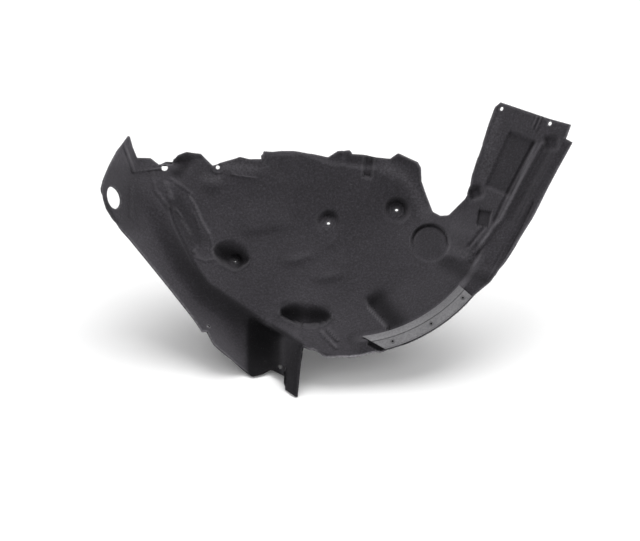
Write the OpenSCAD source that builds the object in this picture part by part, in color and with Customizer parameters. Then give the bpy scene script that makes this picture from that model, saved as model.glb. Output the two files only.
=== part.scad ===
// Wheel arch liner: one pressed felt shell with a hard plastic strip riveted along its outer lip.
// Everything is drawn in the plan of the mould: p runs to the right, q runs up the wheel arch, and the
// height h runs along the draw direction, towards the outside of the car, with the lip at height 0.
// as_it_lies() stands that plan up, as the liner lies on a floor, with the origin in the middle of the
// footprint.

/* [Felt] */
// Thickness of the pressed felt
felt_t = 3.6; // [3:0.1:4.4]
// Angle of the draw direction above level, as the liner lies
draw_tilt = 35; // [30:1:40]
// Longest step of the mesh along the arch
step_along = 15; // [14:1:24]
// Rows of the mesh between the outer edge and the main fold
outer_rows = 10; // [6:1:10]
// Rows of the mesh between the main fold and the inner edge
inner_rows = 21; // [14:1:21]

/* [Holes] */
// Radius of the screw holes in the seats
screw_r = 3.5; // [2.5:0.1:4.5]
// Radius of the round seats in the inner wall
seat_r = 14.5; // [12:0.5:16]
// Radius of the seat in the left niche
niche_seat_r = 12; // [10:0.5:14]
// Radius of the access hole in the left panel
access_r = 23; // [16:1:24]
// Radius of the hole in the foot wall
foot_hole_r = 4; // [3:0.1:5]
// Radius of the two holes in the ear of the arm
arm_hole_r = 4.4; // [3:0.1:5]
// Radius of the larger hole in the inner flange
flange_hole_r = 6.5; // [4:0.1:7]
// Radius of the hole in the small tab
tab_hole_r = 4; // [3:0.1:4.5]
// Radius of the small hole beside the left edge
edge_hole_r = 3; // [2.5:0.1:4]

/* [Pressed forms] */
// Height of the middle seat in the inner wall
middle_seat_h = -157; // [-160:1:-154]
// Angle by which the inner wall's seats lean up from the draw direction
seat_lean = 27; // [22:1:30]
// Depth of the dimples that these seats lie in
dimple_depth = 10; // [6:1:12]
// Height of the seat in the left niche
niche_seat_h = -138; // [-142:1:-132]
// Depth of the left niche
left_niche_depth = 36; // [28:1:40]
// Depth of the wide niche behind the lip
wide_niche_depth = 42; // [30:1:46]
// Depth of the gutter beside the left strip
gutter_depth = 30; // [20:1:34]
// Depth of the slanted band above the gutter
band_depth = 3; // [2:0.5:6]
// Depth of the set-back flange at the upper left
flange_depth = 10; // [6:1:14]
// Depth of the round recess
disc_depth = 8; // [5:0.5:10]
// Radius of the round recess
disc_r = 34; // [30:1:38]
// Depth of the wedge-shaped pocket above the strip
pocket_depth = 24; // [16:1:28]
// Depth of the long recess in the arm
arm_recess_depth = 7; // [4:1:9]
// Rise of the arm's facet towards its inner edge
arm_facet_rise = 12; // [8:1:16]
// Height of the long rib on the arm
arm_rib_h = 6; // [4:1:8]

/* [Lip and strip] */
// Radius of the felt's round outer lip
lip_r = 335; // [333:1:338]
// Distance of the strip's outer edge inside the lip
strip_inset = 3; // [2:0.5:5]
// Width of the strip's flat face
strip_face_w = 22; // [20:0.5:24]
// Width of the strip's bent flank
strip_flank_w = 11; // [9:0.5:13]
// Thickness of the strip
strip_t = 2.4; // [1.8:0.1:3]
// Gap between the strip and the felt
strip_gap = 0.3; // [0.2:0.1:0.5]
// Radius of the rivets' shanks
rivet_r = 2.2; // [1.8:0.1:2.6]
// Radius of the rivets' heads
rivet_head_r = 4.6; // [4:0.1:5.4]
// Thickness of the rivets' heads
rivet_head_t = 1.2; // [0.8:0.1:1.6]
// Clearance round a rivet's shank
rivet_clearance = 0.3; // [0.2:0.1:0.4]

/* [Hidden] */
$fn = 48;
felt_color = [0.2, 0.19, 0.21];
strip_color = [0.42, 0.41, 0.44];
// Depth of a cutting tool on each side of the felt
punch = 12;

strip_outer_r = lip_r - strip_inset;
strip_bend_r = strip_outer_r - strip_face_w;
strip_inner_r = strip_bend_r - strip_flank_w;
lip_centre = [96, 419];
function lip_point(angle, r = lip_r) = lip_centre + r * [sin(angle), -cos(angle)];
function fold_point(angle) = lip_point(angle, strip_inner_r);
strip_start = 7;
strip_bend_start = 13;
strip_end = 49;
rivet_angles = [17, 32, 46.5];
rivet_line_r = strip_outer_r - strip_face_w / 2;

// Ribs of the loft, from the left tip round to the right arm: the point on the outer edge, the point
// on the main fold (the gutter at the left, the edge of the foot wall, the inner edge of the lip, the
// long rib of the arm) and the point on the inner edge
ribs = [
    [[-340, 523], [-338, 522], [-336, 521]], [[-360, 491], [-344, 495], [-330, 499]],
    [[-372, 461], [-338, 473], [-322, 479]], [[-382, 433], [-330, 462], [-314, 479]],
    [[-386, 415], [-326, 458], [-296, 479]], [[-384, 393], [-318, 440], [-278, 465]],
    [[-378, 373], [-302, 440], [-265, 472]], [[-366, 353], [-286, 435], [-252, 471]],
    [[-344, 329], [-281, 424], [-242, 483]], [[-330, 313], [-275, 403], [-222, 491]],
    [[-297, 272], [-254, 363], [-194, 487]], [[-264, 231], [-234, 312], [-170, 463]],
    [[-238, 198], [-214, 277], [-150, 471]], [[-212, 165], [-188, 243], [-116, 481]],
    [[-188, 131], [-164, 216], [-96, 477]], [[-178, 131], [-155, 208], [-84, 477]],
    [[-165, 106], [-144, 199], [-72, 477]], [[-140, 84], [-125, 184], [-68, 493]],
    [[-115, 62], [-108, 169], [-50, 492]], [[-89, 41], [-93, 156], [-33, 494]],
    [[-70, 47], [-76, 152], [-20, 494]], [[-54, 55], [-58, 143], [-8, 494]],
    [[-38, 48], [-40, 133], [0, 493]], [[-22, 40], [-22, 123], [6, 492]],
    [[-24, 16], [-19, 121], [9, 491]], [[0, 0], [7, 108], [16, 490]],
    [[11, 101], [13, 113], [20, 489]], [[24, 95], [25, 112], [30, 488]],
    [[32, 97], [33, 114], [36, 487]], [[58, 79], [58, 113], [62, 481]],
    [[81, 80], [81, 115], [82, 493]], [[104, 81], [103, 117], [107, 494]],
    [[127, 83], [124, 119], [111, 487]], [lip_point(9), fold_point(9), [140, 485]],
    [lip_point(15), fold_point(15), [158, 481]], [lip_point(20), fold_point(20), [188, 478]],
    [lip_point(23), fold_point(23), [203, 488]], [lip_point(27), fold_point(27), [242, 469]],
    [lip_point(31), fold_point(31), [248, 459]], [lip_point(34), fold_point(34), [250, 431]],
    [lip_point(38), fold_point(38), [260, 403]], [lip_point(42), fold_point(42), [272, 371]],
    [lip_point(46), fold_point(46), [288, 362]], [lip_point(50), fold_point(50), [304, 363]],
    [[382, 229], [352, 257], [336, 395]], [[394, 243], [377, 296], [344, 410]],
    [[426, 293], [399, 345], [348, 435]], [[446, 325], [413, 372], [355, 456]],
    [[466, 357], [427, 400], [362, 478]], [[491, 404], [450, 438], [370, 501]],
    [[516, 451], [471, 474], [377, 523]], [[531, 478], [484, 499], [384, 546]],
    [[546, 505], [493, 520], [390, 562]], [[532, 513], [492, 531], [396, 579]],
    [[542, 541], [500, 554], [408, 589]],
];

// Sections through the mould, each at an angle of a fan: outer radius, inner radius, and the heights at
// the outer edge, at one third, at two thirds and at the inner edge
fan = [66, 713];
sections = [
    [-66, 448, 402, [-128, -138, -146, -150]],
    [-62, 485, 420, [-70, -100, -128, -145]],
    [-57, 541, 431, [0, -62, -115, -140]],
    [-47, 562, 342, [-30, -88, -122, -150]],
    [-35, 584, 286, [-28, -95, -135, -150]],
    [-23, 632, 242, [-32, -98, -143, -158]],
    [-16, 674, 232, [-52, -92, -142, -160]],
    [-11.5, 596, 230, [-60, -112, -152, -160]],
    [-8, 606, 228, [-30, -108, -152, -160]],
    [-5, 614, 228, [0, -105, -152, -160]],
    [5, 634, 224, [0, -105, -152, -160]],
    [15, 622, 232, [0, -100, -153, -160]],
    [25, 596, 258, [0, -88, -149, -159]],
    [35, 574, 300, [0, -55, -125, -150]],
    [45, 544, 396, [0, -22, -52, -88]],
    [55, 523, 371, [0, -25, -55, -90]],
    [72, 507, 364, [0, -28, -60, -95]],
];

function clamp(x, low, high) = min(max(x, low), high);
function smooth(x) = let (t = clamp(x, 0, 1)) t * t * (3 - 2 * t);
function mix(a, b, t) = a + (b - a) * t;
function unit(v) = v / norm(v);

// Cubic through the values of a table, which never swings past them
function interval(xs, x, i = 0) = i >= len(xs) - 2 || x < xs[i + 1] ? i : interval(xs, x, i + 1);
function tangent(a, b) = a * b <= 0 ? 0 : 2 * a * b / (a + b);
function rise(xs, ys, i) = (ys[i + 1] - ys[i]) / (xs[i + 1] - xs[i]);
function through(xs, ys, x) =
    let (
        i = interval(xs, x),
        span = xs[i + 1] - xs[i],
        t = clamp((x - xs[i]) / span, 0, 1),
        s = rise(xs, ys, i),
        m0 = span * (i == 0 ? s : tangent(rise(xs, ys, i - 1), s)),
        m1 = span * (i == len(xs) - 2 ? s : tangent(s, rise(xs, ys, i + 1)))
    )
    mix(ys[i], ys[i + 1], smooth(t)) + m0 * t * (1 - t) * (1 - t) - m1 * t * t * (1 - t);

angles = [for (s = sections) s[0]];
outer_radii = [for (s = sections) s[1]];
inner_radii = [for (s = sections) s[2]];
heights = [for (k = [0:3]) [for (s = sections) s[3][k]]];
thirds = [0, 1 / 3, 2 / 3, 1];

function base_height(at) =
    let (
        away = at - fan,
        angle = atan2(away.x, -away.y),
        outer = through(angles, outer_radii, angle),
        inner = through(angles, inner_radii, angle),
        across = (outer - norm(away)) / (outer - inner)
    )
    through(thirds, [for (k = [0:3]) through(angles, heights[k], angle)], across);

// Distance from a path, and a number above 0 on the right side of its course
function off_path(at, path, i = 0) =
    let (
        ab = path[i + 1] - path[i],
        away = at - path[i] - clamp((at - path[i]) * ab / (ab * ab), 0, 1) * ab,
        here = [norm(away), cross(away, ab)]
    )
    i >= len(path) - 2 ? here : let (next = off_path(at, path, i + 1)) next[0] < here[0] ? next : here;
function turned(at, centre, angle) =
    let (d = at - centre) [d.x * cos(angle) + d.y * sin(angle), d.y * cos(angle) - d.x * sin(angle)];

// Weights from 0 to 1 that say where a pressed form reaches: a rounded crest along a path
function crest(at, path, half) = 1 - smooth(off_path(at, path)[0] / half);
// A step up to the right of a path, within near of it, that is gone again at far
function within(at, path, fade) =
    let (
        a = path[0], b = path[len(path) - 1],
        past = norm(at - a) < norm(at - b)
            ? (at - a) * unit(a - path[1])
            : (at - b) * unit(b - path[len(path) - 2])
    )
    1 - smooth(past / fade + 0.5);
function ledge(at, path, near, far) =
    let (off = off_path(at, path))
    off[1] <= 0 ? 0
        : smooth(off[0] / near) * (1 - smooth((off[0] - near) / (far - near))) * within(at, path, 2 * near);
// A flat round area and a flat rectangular one, with soft edges
function disc(at, centre, r, edge) = 1 - smooth((norm(at - centre) - r) / edge);
function box(at, centre, size, angle, edge) =
    let (d = turned(at, centre, angle), x = abs(d.x) - size.x / 2, y = abs(d.y) - size.y / 2)
    1 - smooth(norm([max(x, 0), max(y, 0)]) / edge);
// An oval pit with a sloping roof above its lowest line and a steeper floor below it
function niche(at, centre, size, angle, lowest) =
    let (
        d = turned(at, centre, angle),
        x = 2 * d.x / size.x,
        half = sqrt(max(1 - x * x, 0)),
        v = half > 0 ? 2 * d.y / size.y / half : 2
    )
    abs(v) >= 1 ? 0 : half * smooth(v > lowest ? (1 - v) / (1 - lowest) : (1 + v) / (1 + lowest));

// The seats are flat discs, square to their own axis; the inner wall's two lie in one plane
function level_on(axis, centre, at) =
    centre.z - ((at.x - centre.x) * axis.x + (at.y - centre.y) * axis.y) / axis.z;
inner_axis = [0, sin(seat_lean), cos(seat_lean)];
niche_axis = unit([0.33, 0.78, 0.53]);
middle_seat = [63, 348, middle_seat_h];
right_seat_at = [201, 375];
right_seat = concat(right_seat_at, level_on(inner_axis, middle_seat, right_seat_at));
niche_seat = [-124, 271, niche_seat_h];
function seated(at, h, seat, axis, r, edge) =
    let (centre = [seat.x, seat.y], away = at - centre, held = centre + away * min(1, r / max(norm(away), r)))
    mix(h, level_on(axis, seat, held), disc(at, centre, r, edge));

// The crease where the bowl meets the left strip, and the gutter beside it: the width of its right wall
// and of its left one
crease = [
    [-291, 433], [-273, 391], [-258, 365], [-242, 329], [-214, 275], [-178, 225],
    [-98, 171], [-62, 145], [-28, 129], [9, 105],
];
gutter_wall = 44;
gutter_slope = 50;
gutter_top = 460;
gutter_fade = 220;
function gutter(at) =
    let (off = off_path(at, crease))
    off[1] <= 0 ? 0
        : smooth(off[0] / gutter_wall) * (1 - pow(clamp((off[0] - gutter_wall) / gutter_slope, 0, 1), 2))
            * smooth((gutter_top - at.y) / gutter_fade);

// Heights in the lower box, where the bowl turns down to the foot: a row for each q, a value for each p
box_p = [-130, -96, -76, -56, -38, -22, -4, 12];
box_q = [0, 40, 62, 85, 110, 135, 165];
box_rows = [
    [-45, -57, -57, -57, -45, -20, -6, 0],
    [-42, -57, -57, -56, -50, -26, -7, 0],
    [-51, -72, -78, -70, -46, -20, -6, 0],
    [-61, -88, -98, -88, -56, -24, -8, 0],
    [-72, -98, -107, -96, -66, -34, -14, -2],
    [-82, -100, -104, -94, -76, -52, -30, -12],
    [-88, -96, -92, -84, -74, -62, -50, -40],
];
lower_box_edge = 12;
lower_box_left = -126;
lower_box_top = 140;
lower_box_fade = 26;
function lower_box(at) =
    through(box_p, [for (k = [0:len(box_p) - 1]) through(box_q, [for (row = box_rows) row[k]], at.y)], at.x);
function in_lower_box(at) =
    let (off = off_path(at, crease))
    off[1] <= 0 ? 0
        : smooth(off[0] / lower_box_edge) * smooth((at.x - lower_box_left) / lower_box_fade)
            * (1 - smooth((at.y - lower_box_top) / lower_box_fade));

// The pocket above the strip is deepest at its left corner
pocket_left = [[178, 139], [142, 178], [130, 201]];
pocket_top = [[130, 201], [210, 251], [266, 261], [316, 243]];
pocket_reach = 120;
pocket_left_wall = 8;
pocket_top_wall = 14;
function pocket(at) =
    let (left = off_path(at, pocket_left), top = off_path(at, pocket_top))
    left[1] <= 0 || top[1] <= 0 ? 0
        : smooth(left[0] / pocket_left_wall) * smooth(top[0] / pocket_top_wall)
            * pow(1 - clamp(left[0] / pocket_reach, 0, 1), 2);

band = [[-262, 400], [-222, 345], [-192, 295]];
band_half = 30;
flange = [[-320, 475], [-292, 485], [-262, 485], [-228, 468]];
flange_half = 26;
wide_niche = [17, 167];
wide_niche_size = [104, 52];
wide_niche_turn = -6;
wide_niche_lowest = -0.6;
left_niche = [-132, 286];
left_niche_size = [76, 62];
left_niche_turn = -20;
left_niche_lowest = -0.45;
// Flat felt left round an inner seat, and the widths over which the felt turns up again
seat_land = 2;
seat_edge = 12;
niche_seat_edge = 9;
dimple_size = [44, 48];
dimple_shift = [0, 5];
dimple_lowest = -0.2;
disc_centre = [267, 307];
disc_edge = 6;
arm_recess = [427, 464];
arm_recess_size = [48, 112];
arm_recess_turn = -24;
arm_recess_edge = 8;
arm_facet = [[430, 551], [370, 393]];
arm_facet_w = 44;
arm_facet_reach = 400;
arm_rib = [[488, 504], [430, 398], [406, 352], [388, 334]];
arm_rib_low = [[386, 326], [356, 290]];
arm_rib_half = 7;
// Low steps in the wall: height, width of the step, reach of its fading, path
wall_steps = [
    [7, 20, 90, [[-20, 331], [-64, 321], [-108, 315]]],
    [5, 6, 60, [[82, 303], [50, 283], [-4, 265], [-40, 265]]],
    [4, 6, 50, [[108, 259], [87, 241], [58, 231], [18, 229]]],
    [6, 14, 60, [[384, 262], [336, 258], [296, 272]]],
    [-9, 9, 60, [[160, 456], [128, 457], [66, 465], [9, 486], [-62, 482]]],
];
// The S-shaped fold in the upper wall
wall_fold = [[-24, 471], [5, 443], [-16, 406], [9, 365]];
wall_fold_h = 5;
wall_fold_half = 20;

// The felt is level under the strip: where it starts inside the strip's inner edge, the width it takes
// to level out, and the angles at which it begins and ends
level_inset = 3;
level_width = 16;
level_from = [1, 6];
level_to = [50, 8];

function dimple(at, seat) = niche(at, [seat.x, seat.y] + dimple_shift, dimple_size, 0, dimple_lowest);
function sum(list, i = 0) = i >= len(list) ? 0 : list[i] + sum(list, i + 1);

// Height of the front face of the felt over a point of the plan
function felt_height(at) =
    let (
        lip_away = at - lip_centre,
        lip_angle = atan2(lip_away.x, -lip_away.y),
        under_strip = smooth((norm(lip_away) - strip_inner_r + level_inset) / level_width)
            * smooth((lip_angle - level_from[0]) / level_from[1])
            * (1 - smooth((lip_angle - level_to[0]) / level_to[1])),
        h0 = mix(base_height(at), 0, under_strip) - gutter_depth * gutter(at),
        h1 = mix(h0, lower_box(at), in_lower_box(at))
            - band_depth * crest(at, band, band_half)
            - flange_depth * crest(at, flange, flange_half)
            - wide_niche_depth * niche(at, wide_niche, wide_niche_size, wide_niche_turn, wide_niche_lowest)
            - disc_depth * disc(at, disc_centre, disc_r, disc_edge)
            - pocket_depth * pocket(at)
            - arm_recess_depth * box(at, arm_recess, arm_recess_size, arm_recess_turn, arm_recess_edge)
            + arm_facet_rise * ledge(at, arm_facet, arm_facet_w, arm_facet_reach)
            + arm_rib_h * crest(at, arm_rib, arm_rib_half)
            + arm_rib_h * crest(at, arm_rib_low, arm_rib_half)
            + wall_fold_h * crest(at, wall_fold, wall_fold_half)
            + sum([for (s = wall_steps) s[0] * ledge(at, s[3], s[1], s[2])])
            - left_niche_depth * niche(at, left_niche, left_niche_size, left_niche_turn, left_niche_lowest)
            - dimple_depth * dimple(at, middle_seat)
            - dimple_depth * dimple(at, right_seat),
        h2 = seated(at, h1, middle_seat, inner_axis, seat_r + seat_land, seat_edge),
        h3 = seated(at, h2, right_seat, inner_axis, seat_r + seat_land, seat_edge)
    )
    seated(at, h3, niche_seat, niche_axis, niche_seat_r - 1, niche_seat_edge);
function felt_point(at) = [at.x, at.y, felt_height(at)];

// Mesh of the felt: a front face over the ribs, and a back face one thickness behind it
columns = [
    for (i = [0:len(ribs) - 2])
        let (
            gap = (norm(ribs[i + 1][0] - ribs[i][0]) + norm(ribs[i + 1][2] - ribs[i][2])) / 2,
            steps = max(1, round(gap / step_along))
        )
        for (k = [0:steps - 1]) mix(ribs[i], ribs[i + 1], k / steps),
    ribs[len(ribs) - 1],
];
rows = outer_rows + inner_rows;
row_ease = 1.2;
function across(rib, j) =
    j < outer_rows
        ? mix(rib[0], rib[1], j / outer_rows)
        : mix(rib[1], rib[2], pow((j - outer_rows) / inner_rows, row_ease));
net = [for (c = columns) [for (j = [0:rows]) felt_point(across(c, j))]];
last = len(columns) - 1;
function normal_at(i, j) =
    unit(cross(
        net[min(i + 1, last)][j] - net[max(i - 1, 0)][j],
        net[i][min(j + 1, rows)] - net[i][max(j - 1, 0)]
    ));
front = [for (i = [0:last]) for (j = [0:rows]) net[i][j]];
back = [for (i = [0:last]) for (j = [0:rows]) net[i][j] - felt_t * normal_at(i, j)];
count = len(front);
function corner(i, j) = i * (rows + 1) + j;
function pair(a, b, c, d) = [[a, b, c], [a, c, d]];
rim = concat(
    [for (i = [0:last]) corner(i, 0)],
    [for (j = [1:rows]) corner(last, j)],
    [for (i = [last - 1:-1:0]) corner(i, rows)],
    [for (j = [rows - 1:-1:1]) corner(0, j)]
);
faces = concat(
    [
        for (i = [0:last - 1]) for (j = [0:rows - 1])
            each pair(corner(i, j), corner(i, j + 1), corner(i + 1, j + 1), corner(i + 1, j))
    ],
    [
        for (i = [0:last - 1]) for (j = [0:rows - 1])
            each pair(
                corner(i, j) + count, corner(i + 1, j) + count,
                corner(i + 1, j + 1) + count, corner(i, j + 1) + count
            )
    ],
    [
        for (k = [0:len(rim) - 1]) let (a = rim[k], b = rim[(k + 1) % len(rim)])
            each pair(a, b, b + count, a + count)
    ]
);

// Standing up: the plan leans back, and the footprint's middle comes to the origin
function stand(v) =
    [
        v.x,
        v.y * sin(draw_tilt) - v.z * cos(draw_tilt),
        v.y * cos(draw_tilt) + v.z * sin(draw_tilt),
    ];
stood = [for (v = concat(front, back)) stand(v)];
function lowest(k) = min([for (v = stood) v[k]]);
function highest(k) = max([for (v = stood) v[k]]);
footprint = [(lowest(0) + highest(0)) / 2, (lowest(1) + highest(1)) / 2, lowest(2)];
module as_it_lies() {
    translate(-footprint) rotate([90 - draw_tilt, 0, 0]) children();
}

// Puts a child at a point of the plan, with its z axis along the given axis
module on_axis(at, axis) {
    translate(at) rotate([0, acos(axis.z), atan2(axis.y, axis.x)]) children();
}
module punched(at, axis, r) {
    on_axis(at, axis) cylinder(r = r, h = 2 * punch, center = true);
}
// A flat pressed seat, a little proud of the felt round it
seat_proud = 0.5;
module seat(at, axis, r) {
    on_axis(at, axis) translate([0, 0, seat_proud - felt_t]) cylinder(r = r, h = felt_t);
}

panel_axis = unit([0.84, 0.21, 0.49]);
draw_axis = [0, 0, 1];
arm_hole_a = felt_point([409, 576]);
arm_hole_b = felt_point([502, 544]);
arm_axis = unit(cross(felt_point([448, 500]) - arm_hole_a, arm_hole_b - arm_hole_a));

module felt_liner() {
    color(felt_color) as_it_lies() difference() {
        union() {
            polyhedron(points = concat(front, back), faces = faces);
            seat(middle_seat, inner_axis, seat_r);
            seat(right_seat, inner_axis, seat_r);
            seat(niche_seat, niche_axis, niche_seat_r);
        }
        punched(middle_seat, inner_axis, screw_r);
        punched(right_seat, inner_axis, screw_r);
        punched(niche_seat, niche_axis, screw_r);
        punched(felt_point([-364, 397]), panel_axis, access_r);
        punched(felt_point([-33, 60]), draw_axis, foot_hole_r);
        punched(arm_hole_a, arm_axis, arm_hole_r);
        punched(arm_hole_b, arm_axis, arm_hole_r);
        punched(felt_point([-267, 459]), draw_axis, flange_hole_r);
        punched(felt_point([-160, 460]), draw_axis, tab_hole_r);
        punched(felt_point([-176, 141]), panel_axis, edge_hole_r);
        for (a = rivet_angles)
            punched(concat(lip_point(a, rivet_line_r), [0]), draw_axis, rivet_r + rivet_clearance);
    }
}

strip_back = strip_gap;
strip_front = strip_gap + strip_t;
strip_turn = 1.6 * strip_flank_w;
// Overlap of the strip's two faces at its bend
strip_lap = 0.4;
module strip_sector(from, to, profile) {
    translate(concat(lip_centre, [0])) rotate([0, 0, from - 90])
        rotate_extrude(angle = to - from, $fn = 180) polygon(profile);
}
module edge_strip() {
    color(strip_color) as_it_lies() difference() {
        union() {
            strip_sector(strip_bend_start, strip_end, [
                [strip_bend_r - strip_lap, strip_back + strip_lap], [strip_bend_r, strip_back],
                [strip_outer_r, strip_back], [strip_outer_r, strip_front],
                [strip_bend_r - strip_lap, strip_front - strip_lap],
            ]);
            strip_sector(strip_start, strip_end, [
                [strip_bend_r, strip_back], [strip_bend_r, strip_front],
                [strip_inner_r, strip_front - strip_turn], [strip_inner_r, strip_back - strip_turn],
            ]);
        }
        for (a = rivet_angles)
            punched(concat(lip_point(a, rivet_line_r), [0]), draw_axis, rivet_r + rivet_clearance);
    }
}

module strip_rivets() {
    color(strip_color) as_it_lies() for (a = rivet_angles)
        translate(concat(lip_point(a, rivet_line_r), [0])) {
            translate([0, 0, strip_front]) cylinder(r = rivet_head_r, h = rivet_head_t);
            translate([0, 0, -felt_t - strip_gap]) cylinder(r = rivet_r, h = felt_t + strip_gap + strip_front);
            translate([0, 0, -felt_t - strip_gap - rivet_head_t]) cylinder(r = rivet_head_r, h = rivet_head_t);
        }
}

felt_liner();
edge_strip();
strip_rivets();
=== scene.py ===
# %% [markdown]
# # A wheel arch liner of pressed felt
#
# The real object is one sheet of black needle felt, about 3.6 mm thick, that was heated and pressed in
# a two-part mould to the shape of a car's wheel housing. A strip of hard grey plastic is riveted along
# its outer lip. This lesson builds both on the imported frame, and it shows three things: how a free form
# can be a height over the plan of its mould, how Geometry Nodes scatter fibres and set rivets, and how
# a matt, hairy cloth gets its look from sheen, fine bump and numbers on its mesh.

# %% Load the frame
import math
import bmesh
import bpy
import numpy as np
from mathutils import Matrix, Vector
from mathutils.kdtree import KDTree


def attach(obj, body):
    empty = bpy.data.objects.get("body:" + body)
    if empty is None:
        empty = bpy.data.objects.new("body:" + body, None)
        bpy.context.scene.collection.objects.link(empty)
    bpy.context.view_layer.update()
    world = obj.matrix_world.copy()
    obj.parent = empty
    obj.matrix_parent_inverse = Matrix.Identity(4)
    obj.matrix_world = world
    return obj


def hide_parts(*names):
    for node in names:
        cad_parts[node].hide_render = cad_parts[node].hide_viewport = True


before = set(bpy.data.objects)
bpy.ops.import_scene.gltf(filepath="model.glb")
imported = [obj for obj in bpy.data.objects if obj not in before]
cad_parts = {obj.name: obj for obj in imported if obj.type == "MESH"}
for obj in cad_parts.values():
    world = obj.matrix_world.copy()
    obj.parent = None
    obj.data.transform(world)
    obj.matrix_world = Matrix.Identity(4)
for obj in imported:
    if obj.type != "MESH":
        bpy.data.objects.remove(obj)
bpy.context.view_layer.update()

# %% [markdown]
# ## The plan of the mould
#
# A press tool opens along one straight line, so every form on the felt can be seen from there without
# an undercut. That makes the tool's plan the best place to draw in: p runs to the right, q up the wheel
# arch, and the height h comes towards the viewer. The same plan, in millimetres, is used in the CAD
# source. Standing it up takes one turn about the X axis and one shift.

# %% From the plan to the world
DRAW_TILT = math.radians(35)
FOOTPRINT = np.array([78.3992, 213.143, -4.09582])


def stand(plan):
    """World places, in metres, of plan points in millimetres."""
    p, q, h = np.moveaxis(np.asarray(plan, float), -1, 0)
    y = q * math.sin(DRAW_TILT) - h * math.cos(DRAW_TILT)
    z = q * math.cos(DRAW_TILT) + h * math.sin(DRAW_TILT)
    return (np.stack([p, y, z], axis=-1) - FOOTPRINT) / 1000


def plan_of(places):
    """Plan points, in millimetres, of world places in metres."""
    x, y, z = (np.asarray(places) * 1000 + FOOTPRINT).T
    q = y * math.sin(DRAW_TILT) + z * math.cos(DRAW_TILT)
    return np.column_stack([x, q])


def direction(plan_axis):
    """World direction of a plan direction."""
    return Vector(stand(plan_axis) - stand((0, 0, 0))).normalized()


def plan_matrix(at, axis):
    """Matrix that puts a tool drawn round z at a plan point, along a plan axis."""
    turn = direction(axis).to_track_quat("Z", "Y").to_matrix().to_4x4()
    return Matrix.Translation(Vector(stand(at))) @ turn


print("the plan's zero stands at", stand((0, 0, 0)).round(4))

# %% [markdown]
# ## Ribs and sections
#
# The liner's outline is a loft between two edges. Each rib below names three points: one on the outer
# edge, one on the main fold and one on the inner edge. Between them the mesh is ruled. The depth comes
# from a second table, the sections, which fan out from a point above the arch: each gives four heights
# from the outer to the inner edge. A cubic that never swings past its values joins them, so the bowl
# has no ripples. Scanning or sculpting could give a bowl too, but a table stays easy to change.

# %% The outline
LIP_CENTRE = np.array([96.0, 419.0])
LIP_R = 335.0
FOLD_R = 299.0


def round_about(angle, r, centre=LIP_CENTRE):
    """A plan point at an angle from straight down, round the lip's centre."""
    a = math.radians(angle)
    return (centre[0] + r * math.sin(a), centre[1] - r * math.cos(a))


def lip_rib(angle, inner):
    """A rib that starts on the round lip."""
    return [round_about(angle, LIP_R), round_about(angle, FOLD_R), inner]


RIBS = np.array([
    [[-340, 523], [-338, 522], [-336, 521]], [[-360, 491], [-344, 495], [-330, 499]],
    [[-372, 461], [-338, 473], [-322, 479]], [[-382, 433], [-330, 462], [-314, 479]],
    [[-386, 415], [-326, 458], [-296, 479]], [[-384, 393], [-318, 440], [-278, 465]],
    [[-378, 373], [-302, 440], [-265, 472]], [[-366, 353], [-286, 435], [-252, 471]],
    [[-344, 329], [-281, 424], [-242, 483]], [[-330, 313], [-275, 403], [-222, 491]],
    [[-297, 272], [-254, 363], [-194, 487]], [[-264, 231], [-234, 312], [-170, 463]],
    [[-238, 198], [-214, 277], [-150, 471]], [[-212, 165], [-188, 243], [-116, 481]],
    [[-188, 131], [-164, 216], [-96, 477]], [[-178, 131], [-155, 208], [-84, 477]],
    [[-165, 106], [-144, 199], [-72, 477]], [[-140, 84], [-125, 184], [-68, 493]],
    [[-115, 62], [-108, 169], [-50, 492]], [[-89, 41], [-93, 156], [-33, 494]],
    [[-70, 47], [-76, 152], [-20, 494]], [[-54, 55], [-58, 143], [-8, 494]],
    [[-38, 48], [-40, 133], [0, 493]], [[-22, 40], [-22, 123], [6, 492]],
    [[-24, 16], [-19, 121], [9, 491]], [[0, 0], [7, 108], [16, 490]],
    [[11, 101], [13, 113], [20, 489]], [[24, 95], [25, 112], [30, 488]],
    [[32, 97], [33, 114], [36, 487]], [[58, 79], [58, 113], [62, 481]],
    [[81, 80], [81, 115], [82, 493]], [[104, 81], [103, 117], [107, 494]],
    [[127, 83], [124, 119], [111, 487]], lip_rib(9, (140, 485)),
    lip_rib(15, (158, 481)), lip_rib(20, (188, 478)), lip_rib(23, (203, 488)),
    lip_rib(27, (242, 469)), lip_rib(31, (248, 459)), lip_rib(34, (250, 431)),
    lip_rib(38, (260, 403)), lip_rib(42, (272, 371)), lip_rib(46, (288, 362)),
    lip_rib(50, (304, 363)), [[382, 229], [352, 257], [336, 395]],
    [[394, 243], [377, 296], [344, 410]], [[426, 293], [399, 345], [348, 435]],
    [[446, 325], [413, 372], [355, 456]], [[466, 357], [427, 400], [362, 478]],
    [[491, 404], [450, 438], [370, 501]], [[516, 451], [471, 474], [377, 523]],
    [[531, 478], [484, 499], [384, 546]], [[546, 505], [493, 520], [390, 562]],
    [[532, 513], [492, 531], [396, 579]], [[542, 541], [500, 554], [408, 589]],
], dtype=float)
print(len(RIBS), "ribs from the left tip to the ear of the arm")

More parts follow.
